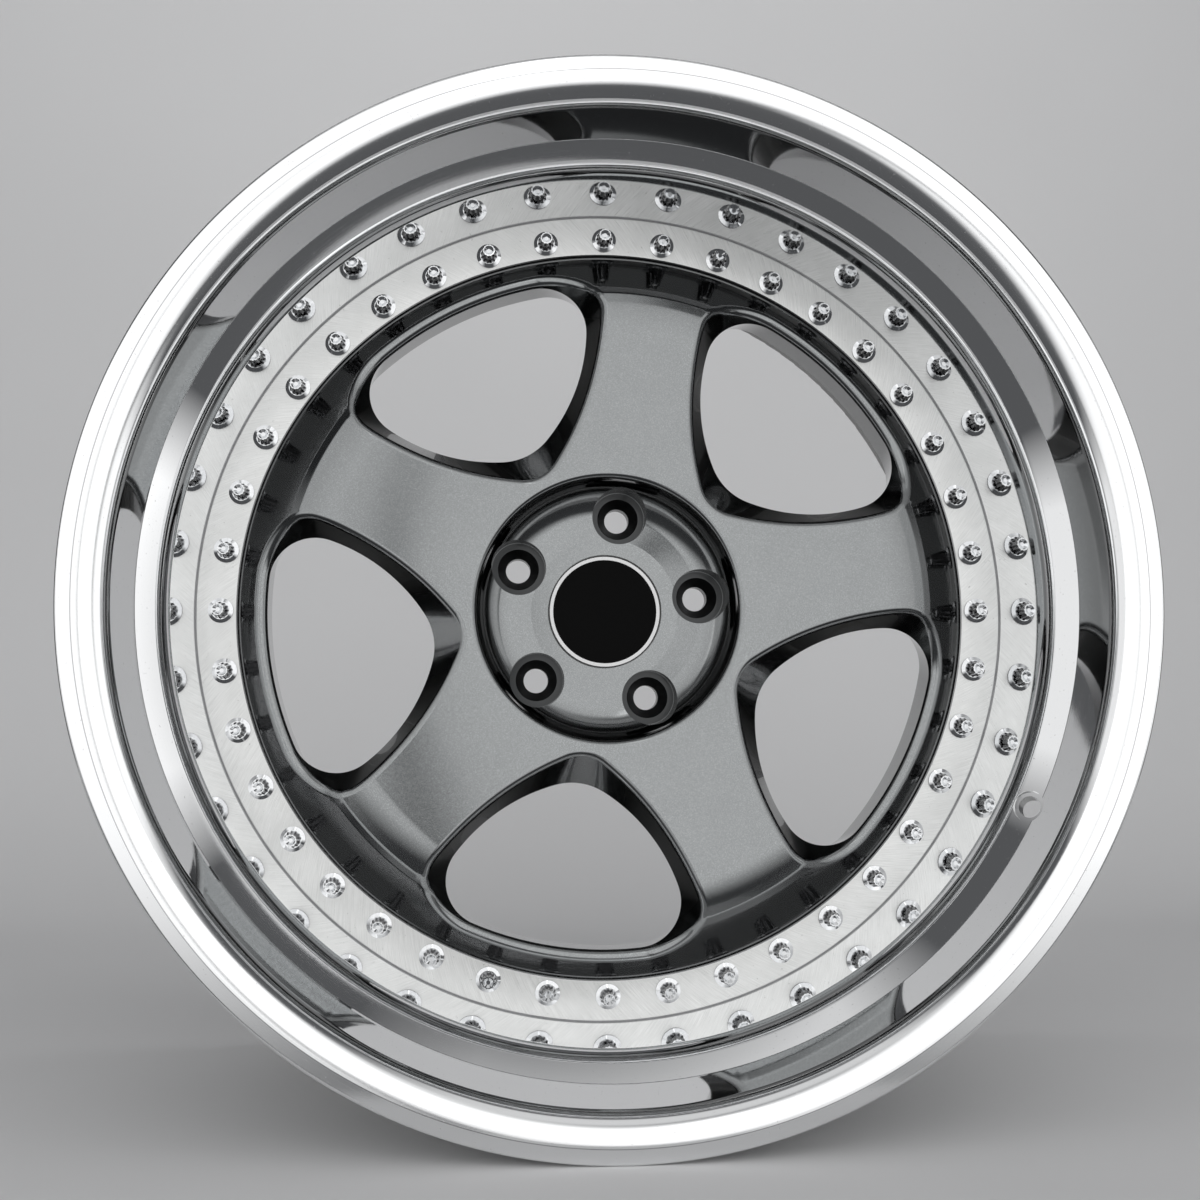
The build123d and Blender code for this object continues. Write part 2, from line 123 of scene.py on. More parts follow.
MILLED_BRIGHT = (0.84, 0.845, 0.835, 1)
MILLED_PIT = (0.25, 0.25, 0.24, 1)
MILLING_SLANT = 0.8
MILLING_REACH = 0.2143
MILLING_STRETCH = 0.03
TURNED = (0.62, 0.625, 0.62, 1)
TURNED_DARK = (0.54, 0.545, 0.54, 1)
TURNED_LIGHT = (0.70, 0.705, 0.70, 1)


def section_rows(corners):
    """Points round a closed section with its corners rounded, each with its outward direction.
    A sharp corner comes twice, once with the direction of each side."""
    points = [Vector(corner[:2]) for corner in corners]
    turned = sum(a.x * b.y - b.x * a.y for a, b in zip(points, points[1:] + points[:1]))
    side = 1 if turned > 0 else -1
    rows = []
    for i, here in enumerate(points):
        before, after = points[i - 1], points[(i + 1) % len(points)]
        way_in, way_out = (here - before).normalized(), (after - here).normalized()
        out_in = Vector((way_in.y, -way_in.x)) * side
        out_out = Vector((way_out.y, -way_out.x)) * side
        bend = out_in.angle_signed(out_out)
        rounding = corners[i][2]
        cut = rounding * abs(math.tan(bend / 2))
        start, end = here - way_in * cut, here + way_out * cut
        hollow = 1 if bend * side > 0 else -1
        centre = start + out_in * rounding * hollow
        if rounding == 0:
            rows += [(here, out_in), (here, out_out)]
        else:
            steps = max(2, math.ceil(abs(bend) / ARC_STEP))
            for step in range(steps + 1):
                out = out_in.copy()
                out.rotate(Matrix.Rotation(-bend * step / steps, 2))
                rows.append((centre - out * rounding * hollow, out))
        next_rounding = corners[(i + 1) % len(corners)][2]
        beyond = points[(i + 2) % len(points)]
        next_bend = way_out.angle_signed((beyond - after).normalized())
        stop = after - way_out * next_rounding * abs(math.tan(next_bend / 2))
        length = (stop - end).length
        for step in range(1, math.ceil(length / ROW_SPACING)):
            rows.append((end.lerp(stop, step * ROW_SPACING / length), out_out))
    return rows


def spun_mesh(name, outline, facets):
    """A closed mesh spun about the Y axis from a closed outline of (radius, y) points."""
    count = len(outline)
    radii, depths = np.array(outline).T
    turns = np.arange(facets) * 2 * math.pi / facets
    points = np.empty((facets, count, 3))
    points[..., 0] = np.outer(np.sin(turns), radii)
    points[..., 1] = depths
    points[..., 2] = np.outer(np.cos(turns), radii)
    faces = []
    for turn in range(facets):
        here, there = turn * count, (turn + 1) % facets * count
        for row in range(count):
            after = (row + 1) % count
            faces.append((here + row, here + after, there + after, there + row))
    mesh = bpy.data.meshes.new(name)
    mesh.from_pydata(points.reshape(-1, 3).tolist(), [], faces)
    mesh.update()
    return mesh


def place(name, mesh):
    """A new object in the scene for a mesh."""
    piece = bpy.data.objects.new(name, mesh)
    bpy.context.collection.objects.link(piece)
    return piece


def outer_lip():
    """The spun lip with its valve hole, shaded by the exact directions of its section."""
    rows = section_rows(LIP_SECTION)
    outline = [point for i, (point, out) in enumerate(rows) if (point - rows[i - 1][0]).length > SAME_POINT]
    mesh = spun_mesh("polished_outer_lip", [(p.x, LIP_FRONT + p.y) for p in outline], LIP_FACETS)
    lip = place("polished_outer_lip", mesh)
    cutter_outline = [
        (VALVE_CENTRE, VALVE_REACH),
        (VALVE_SPOT, VALVE_REACH),
        (VALVE_SPOT, -VALVE_SPOT_DEPTH),
        (VALVE_HOLE, -VALVE_SPOT_DEPTH),
        (VALVE_HOLE, -VALVE_REACH),
        (VALVE_CENTRE, -VALVE_REACH),
    ]
    cutter = place("valve_cutter", spun_mesh("valve_cutter", cutter_outline, VALVE_FACETS))
    inwards = Vector((-math.sin(VALVE_AZIMUTH), 0, -math.cos(VALVE_AZIMUTH)))
    axis = inwards * math.sin(VALVE_LEAN) + Vector((0, -math.cos(VALVE_LEAN), 0))
    spot = Vector((0, LIP_FRONT + VALVE_DEPTH, 0)) - inwards * VALVE_RADIUS
    cutter.matrix_world = Matrix.Translation(spot) @ axis.to_track_quat("Y", "Z").to_matrix().to_4x4()
    cut = lip.modifiers.new("valve_hole", "BOOLEAN")
    cut.operation = "DIFFERENCE"
    cut.object = cutter
    bpy.context.view_layer.update()
    lip.data = bpy.data.meshes.new_from_object(lip.evaluated_get(bpy.context.evaluated_depsgraph_get()))
    lip.modifiers.clear()
    bpy.data.objects.remove(cutter)
    shade_by_section(lip.data, rows)
    return lip


def shade_by_section(mesh, rows):
    """Gives each face corner of a spun mesh the direction of the nearest section point that faces alike."""
    corners = len(mesh.loops)
    vertices = np.empty(len(mesh.vertices) * 3)
    mesh.vertices.foreach_get("co", vertices)
    owners = np.empty(corners, int)
    mesh.loops.foreach_get("vertex_index", owners)
    at = vertices.reshape(-1, 3)[owners]
    sizes = np.empty(len(mesh.polygons), int)
    mesh.polygons.foreach_get("loop_total", sizes)
    facing = np.empty(len(mesh.polygons) * 3)
    mesh.polygons.foreach_get("normal", facing)
    facing = np.repeat(facing.reshape(-1, 3), sizes, axis=0)
    radius = np.hypot(at[:, 0], at[:, 2])
    outward = at[:, [0, 2]] / radius[:, None]
    face_out = (facing[:, [0, 2]] * outward).sum(1)
    points = np.array([(p.x, LIP_FRONT + p.y) for p, out in rows])
    outs = np.array([tuple(out) for p, out in rows])
    normals = facing.copy()
    for low in range(0, corners, SHADING_BATCH):
        part = slice(low, low + SHADING_BATCH)
        gap = np.hypot(radius[part, None] - points[:, 0], at[part, 1, None] - points[:, 1])
        agree = face_out[part, None] * outs[:, 0] + facing[part, 1, None] * outs[:, 1]
        best = np.argmin(gap / ROW_SPACING + FACING_WEIGHT * (1 - agree), axis=1)
        across, along = outs[best].T
        smooth = agree[np.arange(len(best)), best] > FACING_LIMIT
        spun = np.stack([outward[part, 0] * across, along, outward[part, 1] * across], axis=1)
        normals[part] = np.where(smooth[:, None], spun, facing[part])
    mesh.polygons.foreach_set("use_smooth", np.ones(len(mesh.polygons), bool))
    mesh.normals_split_custom_set(normals.tolist())


def finish(name, colour, metallic, roughness):
    """A new material with its shader; returns the material, its node tree and its shader node."""
    material = bpy.data.materials.new(name)
    material.use_nodes = True
    tree = material.node_tree
    shader = tree.nodes["Principled BSDF"]
    shader.inputs["Base Color"].default_value = colour
    shader.inputs["Metallic"].default_value = metallic
    shader.inputs["Roughness"].default_value = roughness
    return material, tree, shader


def feed(tree, socket, value):
    """Puts a number, a colour or another node's output into a socket."""
    if isinstance(value, bpy.types.NodeSocket):
        tree.links.new(value, socket)
    else:
        socket.default_value = value


def calc(tree, operation, *values):
    """The output of one arithmetic node."""
    node = tree.nodes.new("ShaderNodeMath")
    node.operation = operation
    for socket, value in zip(node.inputs, values):
        feed(tree, socket, value)
    return node.outputs[0]


def ramp(tree, value, low, high, to_low=0.0, to_high=1.0):
    """A clamped straight-line rescale of a value."""
    node = tree.nodes.new("ShaderNodeMapRange")
    feed(tree, node.inputs["Value"], value)
    for name, number in (("From Min", low), ("From Max", high), ("To Min", to_low), ("To Max", to_high)):
        feed(tree, node.inputs[name], number)
    return node.outputs["Result"]


def blend(tree, factor, first, second):
    """A colour between two colours."""
    node = tree.nodes.new("ShaderNodeMix")
    node.data_type = "RGBA"
    feed(tree, node.inputs[0], factor)
    feed(tree, node.inputs[6], first)
    feed(tree, node.inputs[7], second)
    return node.outputs[2]


def distance(tree, first, second):
    """The long side of a right triangle."""
    squares = [calc(tree, "MULTIPLY", side, side) for side in (first, second)]
    return calc(tree, "SQRT", calc(tree, "ADD", *squares))


def wheel_coordinates(tree):
    """Distance from the axle, azimuth clockwise from the top in radians, and place along the axle."""
    place = tree.nodes.new("ShaderNodeTexCoord")
    parts = tree.nodes.new("ShaderNodeSeparateXYZ")
    tree.links.new(place.outputs["Object"], parts.inputs[0])
    x, y, z = parts.outputs
    return distance(tree, x, z), calc(tree, "ARCTAN2", x, z), y


def vector(tree, x, y, z):
    """A vector from three values."""
    node = tree.nodes.new("ShaderNodeCombineXYZ")
    for socket, value in zip(node.inputs, (x, y, z)):
        feed(tree, socket, value)
    return node.outputs[0]


def noise(tree, place, scale, detail, rough=0.5):
    """A cloud noise over a place."""
    node = tree.nodes.new("ShaderNodeTexNoise")
    tree.links.new(place, node.inputs["Vector"])
    node.inputs["Scale"].default_value = scale
    node.inputs["Detail"].default_value = detail
    node.inputs["Roughness"].default_value = rough
    return node.outputs["Fac"]


def object_place(tree):
    """The place on the object, in metres."""
    return tree.nodes.new("ShaderNodeTexCoord").outputs["Object"]


def bump(tree, shader, height, reach):
    """Raises the shading by a height in units of a reach in metres."""
    node = tree.nodes.new("ShaderNodeBump")
    node.inputs["Strength"].default_value = 1.0
    node.inputs["Distance"].default_value = reach
    tree.links.new(height, node.inputs["Height"])
    tree.links.new(node.outputs[0], shader.inputs["Normal"])


def colour_by(tree, shader, colour):
    """Makes a colour of the nodes the shader's base colour."""
    tree.links.new(colour, shader.inputs["Base Color"])


def roughen_by(tree, shader, value):
    """Makes a value of the nodes the shader's roughness."""
    tree.links.new(value, shader.inputs["Roughness"])


def polished_lip():
    """Mirror polish with faint turning marks and specks of dust, a little duller on the flange's front face.
    The crease of the flange and the groove beside the ring are painted a darker grey as shade."""
    material, tree, shader = finish("polished_lip", POLISHED, 1.0, 0.05)
    radius, azimuth, along = wheel_coordinates(tree)
    turning = noise(tree, vector(tree, radius, along, 0.0), 2600.0, 3.0, 0.7)
    dust = ramp(tree, noise(tree, object_place(tree), 900.0, 1.0), 0.72, 0.80)
    flange = ramp(tree, radius, FLANGE_FACE_START, FLANGE_FACE_FULL)
    # Painted shade: the flange's crease and the groove beside the ring get a darker grey.
    crease = calc(tree, "COMPARE", radius, CREASE_RADIUS, CREASE_HALF_WIDTH)
    near_groove = calc(tree, "COMPARE", radius, GROOVE_RADIUS, GROOVE_HALF_WIDTH)
    deep_enough = calc(tree, "GREATER_THAN", along, LIP_FRONT + GROOVE_START_DEPTH)
    painted_crease_shade = calc(tree, "MAXIMUM", crease, calc(tree, "MULTIPLY", near_groove, deep_enough))
    colour_by(tree, shader, blend(tree, painted_crease_shade, blend(tree, dust, POLISHED, DUST), PAINTED_CREASE_SHADE))
    polish = ramp(tree, turning, 0.35, 0.75, 0.02, 0.06)
    rough = calc(tree, "ADD", polish, calc(tree, "MULTIPLY", flange, 0.12))
    roughen_by(tree, shader, calc(tree, "ADD", rough, calc(tree, "MULTIPLY", dust, 0.2)))
    bump(tree, shader, turning, 0.0000012)
    return material


def milled_ring():
    """The fly-cut face of the bolting ring: satin aluminium with fine slanting arcs and a few dark pits."""
    material, tree, shader = finish("milled_ring", MILLED, 1.0, 0.33)
    radius, azimuth, along = wheel_coordinates(tree)
    round_ring = calc(tree, "MULTIPLY", azimuth, MILLING_REACH)
    slanted = calc(tree, "ADD", round_ring, calc(tree, "MULTIPLY", radius, MILLING_SLANT))
    arcs = vector(tree, slanted, calc(tree, "MULTIPLY", radius, MILLING_STRETCH), 0.0)
    milled = noise(tree, arcs, 2600.0, 3.0, 0.65)
    cloud = noise(tree, object_place(tree), 45.0, 3.0, 0.6)
    pits = ramp(tree, noise(tree, object_place(tree), 420.0, 4.0, 0.7), 0.66, 0.73)
    bright = blend(tree, ramp(tree, cloud, 0.35, 0.65), MILLED_DULL, MILLED_BRIGHT)
    marked = blend(tree, ramp(tree, milled, 0.3, 0.7), MILLED_MARK, bright)
    colour_by(tree, shader, blend(tree, pits, marked, MILLED_PIT))
    roughen_by(tree, shader, ramp(tree, milled, 0.2, 0.8, 0.24, 0.40))
    bump(tree, shader, milled, 0.00003)
    return material


def turned_seat():
    """The tyre side as it left the lathe: satin aluminium with fine turning marks."""
    material, tree, shader = finish("turned_seat", TURNED, 1.0, 0.3)
    radius, azimuth, along = wheel_coordinates(tree)
    turning = noise(tree, vector(tree, radius, along, 0.0), 1800.0, 3.0, 0.7)
    colour_by(tree, shader, blend(tree, turning, TURNED_DARK, TURNED_LIGHT))
    roughen_by(tree, shader, ramp(tree, turning, 0.3, 0.7, 0.24, 0.38))
    bump(tree, shader, turning, 0.00002)
    return material


lip = outer_lip()
lip.data.materials.append(polished_lip())
lip.data.materials.append(milled_ring())
lip.data.materials.append(turned_seat())
for face in lip.data.polygons:
    from_axle = math.hypot(face.center.x, face.center.z)
    outwards = (face.normal.x * face.center.x + face.normal.z * face.center.z) / from_axle
    on_ring = RING_INNER_RADIUS < from_axle < RING_OUTER_RADIUS and face.normal.y < -0.9
    behind_roll = face.center.y > LIP_FRONT + FLANGE_ROLL_DEPTH
    on_tyre_side = behind_roll and (outwards > 0.1 or face.normal.y > 0.5)
    face.material_index = 1 if on_ring else 2 if on_tyre_side else 0
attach(lip, "root")
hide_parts("outer_lip")

# Inner barrel
# The second aluminium turning, left plain: fine turning marks and a few brown handling stains.
# Its forward flange is clamped to the back of the centre disc. The CAD solid shows as it is.
# Painted shade: the barrel's colours are darker than bare aluminium, standing in for the shade inside the
# tube.
BARREL = (0.34, 0.34, 0.335, 1)
BARREL_DARK = (0.30, 0.30, 0.296, 1)
BARREL_LIGHT = (0.38, 0.38, 0.375, 1)
BARREL_STAIN = (0.25, 0.228, 0.205, 1)


def plain_barrel():
    """Turned aluminium with soft stains, its colours kept darker than bare aluminium as painted shade for the
    shadowed inside of the tube.
    """
    material, tree, shader = finish("plain_barrel", BARREL, 1.0, 0.38)
    radius, azimuth, along = wheel_coordinates(tree)
    turning = noise(tree, vector(tree, radius, along, 0.0), 1800.0, 3.0, 0.7)
    cloud = noise(tree, object_place(tree), 14.0, 4.0, 0.6)
    stain = ramp(tree, noise(tree, object_place(tree), 38.0, 5.0, 0.7), 0.58, 0.74)
    bare = blend(tree, ramp(tree, cloud, 0.3, 0.7), BARREL_DARK, BARREL_LIGHT)
    colour_by(tree, shader, blend(tree, stain, bare, BARREL_STAIN))
    roughen_by(tree, shader, ramp(tree, turning, 0.3, 0.7, 0.30, 0.46))
    bump(tree, shader, turning, 0.00002)
    return material


def dress(node, material):
    """Gives a CAD node its finish."""
    for socket in nodes[node].material_slots:
        socket.material = material


dress("inner_barrel", plain_barrel())

# Centre disc
# A forged aluminium disc, turned and milled: five spokes between bowed windows, a hub bowl with bolt seats.
# Its outer flange is held between the two rim halves. It is painted gloss gunmetal under clear lacquer.
# It is built again here from its turned section and window outlines, so that the lacquer shows no facets.
BORE_RADIUS = 0.03255
PLATEAU_DEPTH = 0.1250
FACE_DEPTH = 0.1525
BACK_RIM_RADIUS = 0.2027
BACK_RIM_DEPTH = 0.1368
DISC_SECTION = [
    # distance from the axle, depth behind the lip's front face, rounding
    (BORE_RADIUS, FACE_DEPTH, 0.0),
    (BORE_RADIUS, 0.1425, 0.0),
    (0.0307, 0.1425, 0.0),
    (0.0307, 0.1380, 0.0),
    (0.0286, 0.1380, 0.0),
    (0.0286, 0.1284, 0.0),
    (BORE_RADIUS, 0.1284, 0.0),
    (BORE_RADIUS, PLATEAU_DEPTH, 0.0),
    (0.0420, PLATEAU_DEPTH, 0.0),
    (0.0714, 0.1214, 0.021),
    (0.0732, 0.0995, 0.0034),
    (0.1650, 0.0945, 0.060),
    (0.1780, 0.0974, 0.006),
    (0.1820, 0.0998, 0.006),
    (0.2051, 0.1186, 0.0012),
    (0.2051, 0.1238, 0.0),
    (0.2279, 0.1238, 0.0),
    (0.2279, 0.1318, 0.0),
    (BACK_RIM_RADIUS, 0.1318, 0.0),
    (BACK_RIM_RADIUS, BACK_RIM_DEPTH, 0.0),
    (0.1880, BACK_RIM_DEPTH, 0.0),
    (0.1500, 0.1225, 0.0),
    (0.1040, 0.1280, 0.020),
    (0.0860, 0.1425, 0.0),
    (0.0760, 0.1495, 0.0),
    (0.0730, FACE_DEPTH, 0.0),
]
DISC_FACETS = 300
FRONT_FACE_END = 0.2045
BORE_WALL_END = 0.035
BACK_STEP_START = 0.2
HAIR = 0.0005
LEVEL = 1e-6
SPOKES = 5
SPOKE_AZIMUTH = math.radians(8.62)
WINDOW_DEPTHS = (0.0940, 0.1125, 0.1400)
# outer arc, distance of the apex, half width, radius of the bowed sides, rounding of the apex
WINDOW_MOUTH = (0.1972, 0.0720, 0.0877, 0.2320, 0.014)
WINDOW_THROAT = (0.1880, 0.0959, 0.0727, 0.1030, 0.034)
WINDOW_BACK = (0.18925, 0.0909, 0.0777, 0.1080, 0.034)
WINDOW_CORNER = 0.025
WINDOW_EDGE = 0.0045
WINDOW_POINTS = (16, 44, 22, 34)
WINDOW_EDGE_STEPS = 10
WINDOW_WALL_STEPS = 4
WINDOW_HALVINGS = 40
PATCH_SPACING = 0.0026
PATCH_CLEARANCE = 0.45 * PATCH_SPACING
PATCH_NUDGE = 0.01
LEAST_FACETS = 90
LUG_CIRCLE = 0.110 / 2
LUG_POCKET = 0.031 / 2
LUG_POCKET_DEPTH = 0.1355
LUG_SEAT = 0.0236 / 2
LUG_SEAT_END = LUG_POCKET_DEPTH + 0.00814
LUG_SEAT_LEAN = math.radians(30)
LUG_HOLE = 0.0142 / 2
LUG_FACETS = 96
PAINT = (0.25, 0.26, 0.262, 1)
PAINT_DARK = (0.22, 0.229, 0.231, 1)
PAINT_FLAKE = (0.42, 0.435, 0.438, 1)
PAINT_ASLANT = (0.02, 0.021, 0.0215, 1)
PAINT_POCKET_DARK_AND_SHADE = (0.05, 0.052, 0.053, 1)


def window_outline(outer, apex, half_width, side, apex_round):
    """Points round one window at the top of the wheel: apex, right side, corner, outer arc and back again."""
    tip = Vector((0, apex))
    corner = Vector((half_width, math.sqrt(outer**2 - half_width**2)))
    chord = corner - tip
    bowed = Vector((chord.y, -chord.x)).normalized()
    centre = (tip + corner) / 2 - bowed * math.sqrt(side**2 - chord.length_squared / 4)
    apex_centre = Vector((0, centre.y - math.sqrt((side - apex_round)**2 - centre.x**2)))
    crossings = intersect_sphere_sphere_2d(centre, side - WINDOW_CORNER, (0, 0), outer - WINDOW_CORNER)
    corner_centre = max(crossings, key=lambda crossing: crossing.x)
    side_start = centre + (apex_centre - centre) * side / (side - apex_round)
    side_end = centre + (corner_centre - centre) * side / (side - WINDOW_CORNER)
    outer_start = corner_centre * outer / (outer - WINDOW_CORNER)
    arcs = [
        (apex_centre, apex_centre - Vector((0, apex_round)), side_start),
        (centre, side_start, side_end),
        (corner_centre, side_end, outer_start),
        (Vector((0, 0)), outer_start, Vector((0, outer))),
    ]
    half = []
    for (middle, start, end), count in zip(arcs, WINDOW_POINTS):
        swing = (end - middle).angle_signed(start - middle)
        for step in range(count):
            half.append(middle + Matrix.Rotation(swing * step / count, 2) @ (start - middle))
    half.append(Vector((0, outer)))
    return np.array([tuple(p) for p in half] + [(-p.x, p.y) for p in half[-2:0:-1]])


def turned(radius, depth, azimuth):
    """Points of the wheel from distances to the axle, depths and azimuths."""
    return np.stack([radius * np.sin(azimuth), LIP_FRONT + depth, radius * np.cos(azimuth)], axis=-1)


def round_axle(points, azimuth):
    """Points or directions turned about the axle, clockwise seen from the front."""
    x, y, z = np.moveaxis(points, -1, 0)
    return np.stack([x * math.cos(azimuth) + z * math.sin(azimuth), y,
                     z * math.cos(azimuth) - x * math.sin(azimuth)], axis=-1)


def unit(vectors):
    """Directions of length one."""
    return vectors / np.linalg.norm(vectors, axis=-1, keepdims=True)


def grid_patch(rows, normals):
    """Four-sided faces over closed rows of points."""
    count = rows.shape[1]
    here = np.arange(count)
    there = (here + 1) % count
    ring = np.stack([here, there, there + count, here + count], axis=1)
    faces = np.concatenate([ring + row * count for row in range(len(rows) - 1)])
    return rows.reshape(-1, 3), faces, normals.reshape(-1, 3)[faces]


def turned_line(rows):
    """Radii, depths and directions of a stretch of a section, from the axle outwards."""
    line = np.array([(p.x, p.y, out.x, out.y) for p, out in rows])
    return line[np.argsort(line[:, 0], kind="stable")]


def turned_patch(line, loops, inside):
    """A turned face with holes: three-sided faces between the circles of its section, laid out flat
    along the section and then lifted back to the wheel."""
    radii, depths = line[:, 0], line[:, 1]
    reach = radii[0] + np.concatenate([[0], np.cumsum(np.hypot(np.diff(radii), np.diff(depths)))])
    points, following, start = [], [], 0
    for step, (radius, depth) in enumerate(zip(radii, depths)):
        rim = step in (0, len(radii) - 1)
        if step and radius - radii[step - 1] < SAME_POINT:
            continue
        count = DISC_FACETS if rim else max(LEAST_FACETS, round(2 * math.pi * radius / PATCH_SPACING))
        azimuths = np.arange(count) * 2 * math.pi / count
        loop = turned(np.full(count, radius), np.full(count, depth), azimuths)
        if rim:
            loops = loops + [loop]
        else:
            points.append(loop)
            following.append(start + (np.arange(count) + 1) % count)
            start += count
    points, following = np.concatenate(points), np.concatenate(following)
    free = ~inside(points)
    for loop in loops:
        free &= np.linalg.norm(points[:, None] - loop, axis=2).min(axis=1) > PATCH_CLEARANCE
    number = np.cumsum(free) - 1
    joined = free & free[following]
    edges = list(zip(number[joined].tolist(), number[following[joined]].tolist()))
    points = points[free]
    for loop in loops:
        here = len(points) + np.arange(len(loop))
        edges += zip(here.tolist(), np.roll(here, -1).tolist())
        points = np.concatenate([points, loop])
    from_axle = np.hypot(points[:, 0], points[:, 2])
    flat = points[:, [0, 2]] * (np.interp(from_axle, radii, reach) / from_axle)[:, None]
    laid = delaunay_2d_cdt([Vector(p) for p in flat], edges, [], 0, SAME_POINT)
    first = np.array([sources[0] for sources in laid[3]])
    faces = first[np.array(laid[2])]
    faces = faces[~inside(points[faces].mean(axis=1))]
    used, faces = np.unique(faces, return_inverse=True)
    points, faces = points[used], faces.reshape(-1, 3)
    corners = points[faces]
    nudged = corners + (corners.mean(axis=1, keepdims=True) - corners) * PATCH_NUDGE
    return points, faces, face_normals(nudged, line)


def in_loop(points, loop):
    """Whether points lie in a closed flat loop, in the wheel's plane."""
    x, z = points[:, 0, None], points[:, 2, None]
    ax, az = loop[:, 0], loop[:, 2]
    bx, bz = np.roll(ax, -1), np.roll(az, -1)
    crosses = ((az > z) != (bz > z)) & (x < (bx - ax) * (z - az) / (bz - az + 1e-30) + ax)
    return crosses.sum(axis=1) % 2 == 1


def in_any(points, loop, azimuths):
    """Whether points lie in a loop at the top of the wheel, repeated at some azimuths."""
    return np.any([in_loop(round_axle(points, -azimuth), loop) for azimuth in azimuths], axis=0)


def depth_at(points, line):
    """Depths of a turned face under some points."""
    return np.interp(np.hypot(points[:, 0], points[:, 2]), line[:, 0], line[:, 1])


def meet(first, second, line):
    """Where straight lines between two outlines cross a turned face."""
    low, high = np.zeros(len(first)), np.ones(len(first))
    for step in range(WINDOW_HALVINGS):
        share = (low + high) / 2
        points = first + (second - first) * share[:, None]
        deeper = points[:, 1] - LIP_FRONT > depth_at(points, line)
        low, high = np.where(deeper, low, share), np.where(deeper, share, high)
    return first + (second - first) * ((low + high) / 2)[:, None]


def face_normals(points, line):
    """Directions of a turned face at some points."""
    from_axle = np.hypot(points[..., 0], points[..., 2])
    across, along = (np.interp(from_axle, line[:, 0], line[:, column]) for column in (2, 3))
    outwards = across / from_axle
    return unit(np.stack([outwards * points[..., 0], along, outwards * points[..., 2]], axis=-1))


def window_rows(front, back):
    """Rows of points round one window at the top of the wheel: rounded front edge, wall to the throat, wall
    to the back edge. The directions of the face along the front edge come last."""
    outlines = [window_outline(*sizes) for sizes in (WINDOW_MOUTH, WINDOW_THROAT, WINDOW_BACK)]
    mouth, throat, rear = [np.insert(outline, 1, LIP_FRONT + depth, axis=1)
                           for outline, depth in zip(outlines, WINDOW_DEPTHS)]
    corner = meet(mouth, throat, front)
    wall = unit(throat - mouth)
    edge = unit(np.roll(corner, -1, axis=0) - np.roll(corner, 1, axis=0))
    facing = face_normals(corner, front)
    away = unit(np.cross(edge, facing))
    away *= np.sign((away * (corner - corner.mean(axis=0))).sum(axis=1, keepdims=True))
    down = unit(wall - edge * (wall * edge).sum(axis=1, keepdims=True))
    between = np.arccos(np.clip((away * down).sum(axis=1), -1, 1))[:, None]
    length = WINDOW_EDGE / np.tan(between / 2)
    start = corner + away * length
    start[:, 1] = LIP_FRONT + depth_at(start, front)
    end = corner + wall * length / (wall * down).sum(axis=1, keepdims=True)
    pull = 4 / 3 * np.tan((math.pi - between) / 4) * np.tan(between / 2)
    start_facing = face_normals(start, front)
    start_pull = (corner - start) * pull
    start_pull -= start_facing * (start_pull * start_facing).sum(axis=1, keepdims=True)
    first, second = start + start_pull, end + (corner - end) * pull
    rows = []
    for step in range(WINDOW_EDGE_STEPS + 1):
        share = step / WINDOW_EDGE_STEPS
        rest = 1 - share
        near, far = rest**3 * start + share**3 * end, rest * first + share * second
        rows.append(near + 3 * rest * share * far)
    walls = np.linspace(end, throat, WINDOW_WALL_STEPS + 1)
    rears = np.linspace(throat, meet(throat, rear, back), WINDOW_WALL_STEPS + 1)
    return np.array(rows), walls, rears, start_facing


def row_normals(rows):
    """Directions of a strip of closed rows, looking into the window."""
    along = np.roll(rows, -1, axis=1) - np.roll(rows, 1, axis=1)
    across = np.gradient(rows, axis=0)
    normals = unit(np.cross(along, across))
    inwards = rows.mean(axis=(0, 1)) - rows[-1]
    inwards[:, 1] = 0
    return normals * np.sign((normals[-1] * inwards).sum())


def welded(name, patches):
    """One mesh of many patches: coinciding points are joined, face corners keep their patch's direction."""
    points = np.concatenate([patch[0] for patch in patches])
    keys = np.round(points / SAME_POINT).astype(np.int64)
    unique, index, back = np.unique(keys, axis=0, return_index=True, return_inverse=True)
    back = back.reshape(-1)
    faces, normals, start = [], [], 0
    for places, corners, looks in patches:
        first, second, third = (places[corners[:, i]] for i in range(3))
        turn = (np.cross(second - first, third - first) * looks.sum(axis=1)).sum(axis=1) < 0
        whole = back[start + corners]
        whole[turn], looks[turn] = whole[turn, ::-1], looks[turn, ::-1]
        faces += whole.tolist()
        normals += looks.reshape(-1, 3).tolist()
        start += len(places)
    mesh = bpy.data.meshes.new(name)
    mesh.from_pydata(points[index].tolist(), [], faces)
    mesh.polygons.foreach_set("use_smooth", np.ones(len(mesh.polygons), bool))
    mesh.normals_split_custom_set(normals)
    return mesh


